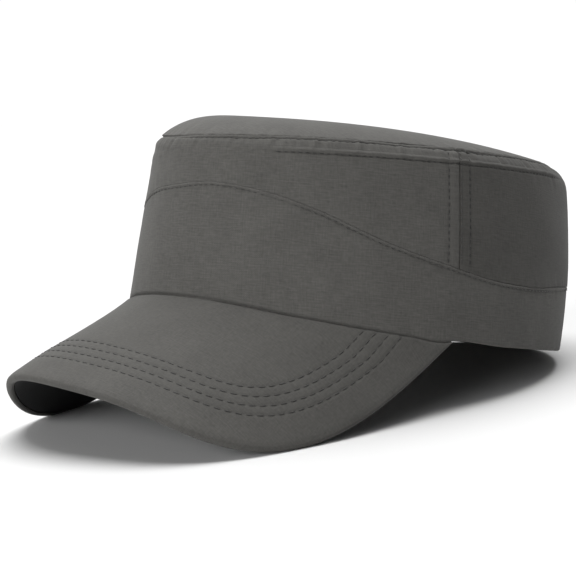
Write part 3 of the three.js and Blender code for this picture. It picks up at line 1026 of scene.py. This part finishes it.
round_the_cap = np.linspace(-180, 180, CURVED_ROW_POINTS)
drop = CURVED_ROW * seam_stretch(round_the_cap) / crease_height(round_the_cap)
curved_row = crown_row(round_the_cap, curved_seam(round_the_cap) - drop, band_relief)
curved_stitches = sew("curved_seam_stitches", [curved_row], STITCH)
past_corner = np.linspace(TOP_ROW_STARTS, TOP_ROW_ENDS, TOP_ROW_POINTS)
top_level = np.full_like(past_corner, 2 - TOP_ROW / SHOULDER_SLANT)
top_row = crown_row(past_corner, top_level, panel_relief)
top_stitches = sew("top_seam_stitches", [top_row], STITCH)
crease_rows = []
for sign in (-1, 1):
    sewn = CREASE_MIDDLE + sign * np.linspace(CREASE_STARTS, CREASE_ENDS, SHORT_ROW_POINTS)
    crease_rows.append(crown_row(sewn, 1 - CREASE_ROW / crease_height(sewn), panel_relief))
crease_stitches = sew("crease_stitches", crease_rows, STITCH)


SIDE_ROW_STARTS = 0.02
SIDE_ROW_ENDS = 1.7
SIDE_ROW_POINTS = 400


def side_row(sign, offset):
    """A row beside a side seam, on one side of the cap."""
    foot = float(curved_seam(np.array([SIDE_SEAM_ANGLE]))[0])
    level = np.linspace(foot + SIDE_ROW_STARTS, SIDE_ROW_ENDS, SIDE_ROW_POINTS)
    angle = np.interp(travel(side_seam(level)) + offset, ring_travel, ring_angles)
    return crown_row(sign * angle, level, panel_relief)


side_stitches = sew("side_seam_stitches", [side_row(sign, SIDE_EDGE) for sign in (-1, 1)], STITCH)
side_edge_rows = [side_row(sign, offset) for sign in (-1, 1) for offset in (-SIDE_ROW, SIDE_ROW)]
side_edge_stitches = sew("side_edge_stitches", side_edge_rows, STITCH)


# %% Rows on the peak
FOOT_CLEARANCE = 1
OFFSET_ERROR = 0.05


def edge_offset(distance):
    """The outer edge moved inwards, without the ends that would loop or reach the crown."""
    ahead = unit(np.gradient(edge_line, axis=0))
    inwards = np.stack([ahead[:, 1], -ahead[:, 0]], -1)
    line = edge_line + inwards * distance
    foot = np.interp(line[:, 0], foot_line[:, 0], foot_line[:, 1])
    true_offset = edge_distance(line)[0] > distance - OFFSET_ERROR
    return line[true_offset & (line[:, 1] > foot + FOOT_CLEARANCE)]


peak_rows = []
for distance in row_distances:
    line = edge_offset(distance)
    peak_rows.append((peak_point(line, peak_relief(line)), peak_normal(line)))
peak_stitches = sew("peak_stitches", peak_rows, PEAK_STITCH)

# %% [markdown]
# ## Materials
# The cloth is a light polyester plain weave: matt, with slubs, which are the thicker stretches of
# a thread that show as fine streaks along and across the grain. Noise stretched on the UV map
# cloth gives the streaks, so they turn with each piece. The real threads are finer than a pixel,
# so their weave is drawn at 0.8 mm.


# %% Colour and node helpers
SRGB_TOE = 0.04045


def linear(text):
    """A colour written as sRGB hex, turned linear."""
    parts = [int(text[k:k + 2], 16) / 255 for k in (1, 3, 5)]
    return [p / 12.92 if p <= SRGB_TOE else ((p + 0.055) / 1.055) ** 2.4 for p in parts] + [1]


def add_node(tree, kind, settings=None, **inputs):
    node = tree.nodes.new("ShaderNode" + kind)
    for name, value in (settings or {}).items():
        setattr(node, name, value)
    for name, value in inputs.items():
        key = int(name[1:]) if name[0] == "i" and name[1:].isdigit() else name.replace("_", " ")
        if isinstance(value, bpy.types.NodeSocket):
            tree.links.new(value, node.inputs[key])
        else:
            node.inputs[key].default_value = value
    return node


# %% The plain weave
WEAVE_PITCH = 0.8
CROWN_SLUB = 5.5
PEAK_SLUB = 3.2
SLUB_WIDTH = 0.55
GRAIN = 1.1
PATCH = 16
WEFT_SHARE = 0.95
WARP_SHARE = 0.6
GRAIN_SHARE = 0.5
PATCH_SHARE = 0.5
WEAVE_SHARE = 0.04
BUMP_HEIGHT = 0.12
WARP_HEIGHT = 0.7
WEAVE_HEIGHT = 0.25
SMOOTHEST = 0.78
ROUGHEST = 0.92


def woven(name, dark, light, sheen, streak, slub_length):
    """Streak is the contrast of the threads, and slub_length is in millimetres."""
    material = bpy.data.materials.new(name)
    material.use_nodes = True
    tree = material.node_tree
    tree.nodes.clear()
    uv = add_node(tree, "UVMap", {"uv_map": "cloth"}).outputs[0]
    cloth = add_node(tree, "VectorMath", {"operation": "SCALE"}, Vector=uv, Scale=UV_UNIT).outputs[0]

    def streaks(along, across, detail):
        stretched = add_node(tree, "Mapping", None, Vector=cloth, Scale=(1 / along, 1 / across, 1))
        noise = add_node(tree, "TexNoise", None, Vector=stretched.outputs[0], Scale=1.0, Detail=detail)
        return noise.outputs[0]

    def math_node(operation, first, second):
        return add_node(tree, "Math", {"operation": operation}, i0=first, i1=second).outputs[0]

    weft = streaks(slub_length, SLUB_WIDTH, 2.0)
    warp = streaks(SLUB_WIDTH, slub_length, 2.0)
    grain = streaks(GRAIN, GRAIN, 3.0)
    patches = streaks(PATCH, PATCH, 2.0)
    parts = add_node(tree, "SeparateXYZ", None, Vector=cloth)
    turn = 2 * math.pi / WEAVE_PITCH
    over = math_node("SINE", math_node("MULTIPLY", parts.outputs[0], turn), 0.0)
    under = math_node("SINE", math_node("MULTIPLY", parts.outputs[1], turn), 0.0)
    weave = math_node("MULTIPLY", over, under)
    tone = math_node("MULTIPLY", weft, WEFT_SHARE * streak)
    tone = math_node("ADD", tone, math_node("MULTIPLY", warp, WARP_SHARE * streak))
    tone = math_node("ADD", tone, math_node("MULTIPLY", grain, GRAIN_SHARE * streak))
    tone = math_node("ADD", tone, math_node("MULTIPLY", patches, PATCH_SHARE))
    tone = math_node("ADD", tone, math_node("MULTIPLY", weave, WEAVE_SHARE))
    average = ((WEFT_SHARE + WARP_SHARE + GRAIN_SHARE) * streak + PATCH_SHARE) / 2
    tone = math_node("SUBTRACT", tone, average - 0.5)
    colour = add_node(tree, "Mix", {"data_type": "RGBA"}, Factor=tone)
    colour.inputs[6].default_value = linear(dark)
    colour.inputs[7].default_value = linear(light)
    height = math_node("ADD", weft, math_node("MULTIPLY", warp, WARP_HEIGHT))
    height = math_node("ADD", height, math_node("MULTIPLY", weave, WEAVE_HEIGHT))
    bump = add_node(tree, "Bump", None, Height=height, Strength=0.5, Distance=BUMP_HEIGHT * MM)
    rough = add_node(tree, "MapRange", None, Value=weft, i3=SMOOTHEST, i4=ROUGHEST)
    shader = add_node(tree, "BsdfPrincipled", None, Base_Color=colour.outputs[2],
                      Roughness=rough.outputs[0], Normal=bump.outputs[0])
    shader.inputs["Specular IOR Level"].default_value = 0.25
    shader.inputs["Sheen Weight"].default_value = sheen
    shader.inputs["Sheen Roughness"].default_value = 0.5
    add_node(tree, "OutputMaterial", None, Surface=shader.outputs[0])
    return material


print("one thread to the next, as drawn:", WEAVE_PITCH, "mm")

# %% The four cloths
# Polyester in plain weave, dyed a warm dark grey: matt, with faint streaks both ways.
crown_weave = woven("polyester_plain_weave", "#3e3d3b", "#555451", 0.06, 1.2, CROWN_SLUB)
# The same cloth stretched over a board: its slubs look shorter and its face smoother.
peak_weave = woven("polyester_weave_over_board", "#3b3a38", "#504f4c", 0.06, 1.1, PEAK_SLUB)
# A nearly black weave, painted as the shade under the peak: its threads hardly show.
painted_shade_below_peak = woven("nearly_black_weave_painted_shade", "#1a1a1b", "#262627", 0.05, 1.0, PEAK_SLUB)
# The same cloth a shade darker, as painted shade: the photograph's wall darkens abruptly behind
# the side seam.
back_wall_painted_shade = woven("polyester_weave_painted_darker_behind_seam", "#353432", "#494845", 0.06, 1.2, CROWN_SLUB)
for piece in (front_panel, band, crown_top):
    piece.data.materials.append(crown_weave)
# The back panel gets its cloth painted a shade darker, as painted shade.
back_panel.data.materials.append(back_wall_painted_shade)
peak.data.materials.append(peak_weave)
# The cloth under the peak gets the nearly black weave, which paints the shade under the peak.
peak_under.data.materials.append(painted_shade_below_peak)
print("cloths:", [cloth.name for cloth in (crown_weave, back_wall_painted_shade, peak_weave, painted_shade_below_peak)])


# %% [markdown]
# Sewing thread is twisted polyester, a little darker than the cloth and drawn darker still as painted
# shade from the trench it lies in, with a dull shine along each stitch. The rows beside the side seam
# lie flat, in a trench too shallow to shade them, so their thread is painted darker still as shade.


# %% Sewing thread
THREAD_NOISE = 900.0


def thread_material(name, dark, light):
    material = bpy.data.materials.new(name)
    material.use_nodes = True
    tree = material.node_tree
    shader = tree.nodes["Principled BSDF"]
    place = add_node(tree, "TexCoord").outputs["Object"]
    noise = add_node(tree, "TexNoise", None, Vector=place, Scale=THREAD_NOISE, Detail=2.0)
    colour = add_node(tree, "Mix", {"data_type": "RGBA"}, Factor=noise.outputs[0])
    colour.inputs[6].default_value = linear(dark)
    colour.inputs[7].default_value = linear(light)
    tree.links.new(colour.outputs[2], shader.inputs["Base Color"])
    shader.inputs["Roughness"].default_value = 0.6
    shader.inputs["Specular IOR Level"].default_value = 0.35
    shader.inputs["Sheen Weight"].default_value = 0.1
    return material


# Thread a little darker than the cloth, and darker still as painted shade of its trench.
thread = thread_material("polyester_thread_painted_shade", "#262524", "#333230")
for piece in (curved_stitches, top_stitches, crease_stitches, side_stitches, peak_stitches):
    piece.data.materials.append(thread)
# Darker again: painted shade for the rows whose trench is too shallow to shade them.
painted_shade_side_thread = thread_material("side_row_thread_painted_shade", "#1c1b1a", "#282726")
side_edge_stitches.data.materials.append(painted_shade_side_thread)
print("threads:", thread.name, painted_shade_side_thread.name)

# %% [markdown]
# ## Stage, light and camera
# The photograph is a cut-out on white, so the floor and the backdrop are plain and pale. One wide
# light stands nearly overhead, a little behind the cap on the wearer's right, and lights the top. A
# weaker one, low in front, lights the peak and the front wall. The room is dim but for the white
# backdrop behind the cap, so the wall behind the side seam stays darker, as in the photograph.

# %% Floor and room
bpy.ops.object.select_all(action="DESELECT")
bpy.ops.mesh.primitive_plane_add(size=12, location=(0, 0, 0))
floor = bpy.context.object
floor.name = "floor"
floor_paint = bpy.data.materials.new("matt_white_floor")
floor_paint.use_nodes = True
paint = floor_paint.node_tree.nodes["Principled BSDF"]
paint.inputs["Base Color"].default_value = linear("#cbcbcb")
paint.inputs["Roughness"].default_value = 0.9
floor.data.materials.append(floor_paint)

ROOM_LIGHT = 0.1
BACKDROP_LIGHT = 1.02
BACKDROP_SIDE = (-0.76, 0.65, 0)
BACKDROP_STARTS = 0.45
BACKDROP_FULL = 0.85
world = bpy.data.worlds.new("room")
bpy.context.scene.world = world
world.use_nodes = True
room = world.node_tree
looking = add_node(room, "TexCoord").outputs["Generated"]
facing = add_node(room, "VectorMath", {"operation": "DOT_PRODUCT"}, i0=looking, i1=BACKDROP_SIDE)
bright = add_node(room, "MapRange", None, Value=facing.outputs["Value"], i1=BACKDROP_STARTS,
                  i2=BACKDROP_FULL, i3=ROOM_LIGHT, i4=BACKDROP_LIGHT)
room.links.new(bright.outputs[0], room.nodes["Background"].inputs["Strength"])
room.nodes["Background"].inputs["Color"].default_value = (1, 1, 1, 1)
print("backdrop is", BACKDROP_LIGHT / ROOM_LIGHT, "times as bright as the room")

# %% Softboxes
SOFTBOX_SPREAD = 50


def softbox(name, turn, height, strength):
    """A wide soft light far away, turned round the cap from its left side; angles in degrees."""
    light = bpy.data.lights.new(name, "SUN")
    light.angle = math.radians(SOFTBOX_SPREAD)
    light.energy = strength
    lamp = bpy.data.objects.new(name, light)
    bpy.context.collection.objects.link(lamp)
    flat = math.cos(math.radians(height))
    towards = Vector((flat * math.cos(math.radians(turn)), flat * math.sin(math.radians(turn)),
                      math.sin(math.radians(height))))
    lamp.location = towards * 2
    lamp.rotation_euler = (-towards).to_track_quat("-Z", "Y").to_euler()
    print(name, "softbox faces the cap from", towards)


softbox("overhead", 130, 76, 4.4)
softbox("low_front", -86, 12, 3.1)

# %% [markdown]
# The camera's place, direction, roll and lens were worked out from the outline and the seams in the
# photograph by least squares, so that the render can be laid over it.

# %% Camera
CAMERA_PLACE = Vector((0.54477, -0.48311, 0.13869))
CAMERA_BACK = Vector((0.7537, -0.6448, 0.1270)).normalized()
CAMERA_ROLL = math.radians(-5.034)
CAMERA_LENS = 105.26
camera_data = bpy.data.cameras.new("photo_camera")
camera_data.sensor_width = 36
camera_data.lens = CAMERA_LENS
camera = bpy.data.objects.new("photo_camera", camera_data)
bpy.context.collection.objects.link(camera)
across = Vector((0, 0, 1)).cross(CAMERA_BACK).normalized()
upright = CAMERA_BACK.cross(across)
right = across * math.cos(CAMERA_ROLL) + upright * math.sin(CAMERA_ROLL)
upwards = upright * math.cos(CAMERA_ROLL) - across * math.sin(CAMERA_ROLL)
turned = Matrix((right, upwards, CAMERA_BACK)).transposed().to_4x4()
camera.matrix_world = Matrix.Translation(CAMERA_PLACE) @ turned
bpy.context.scene.camera = camera
bpy.context.scene.view_settings.view_transform = "Standard"
print("camera is", round(CAMERA_PLACE.length, 2), "m from the cap")
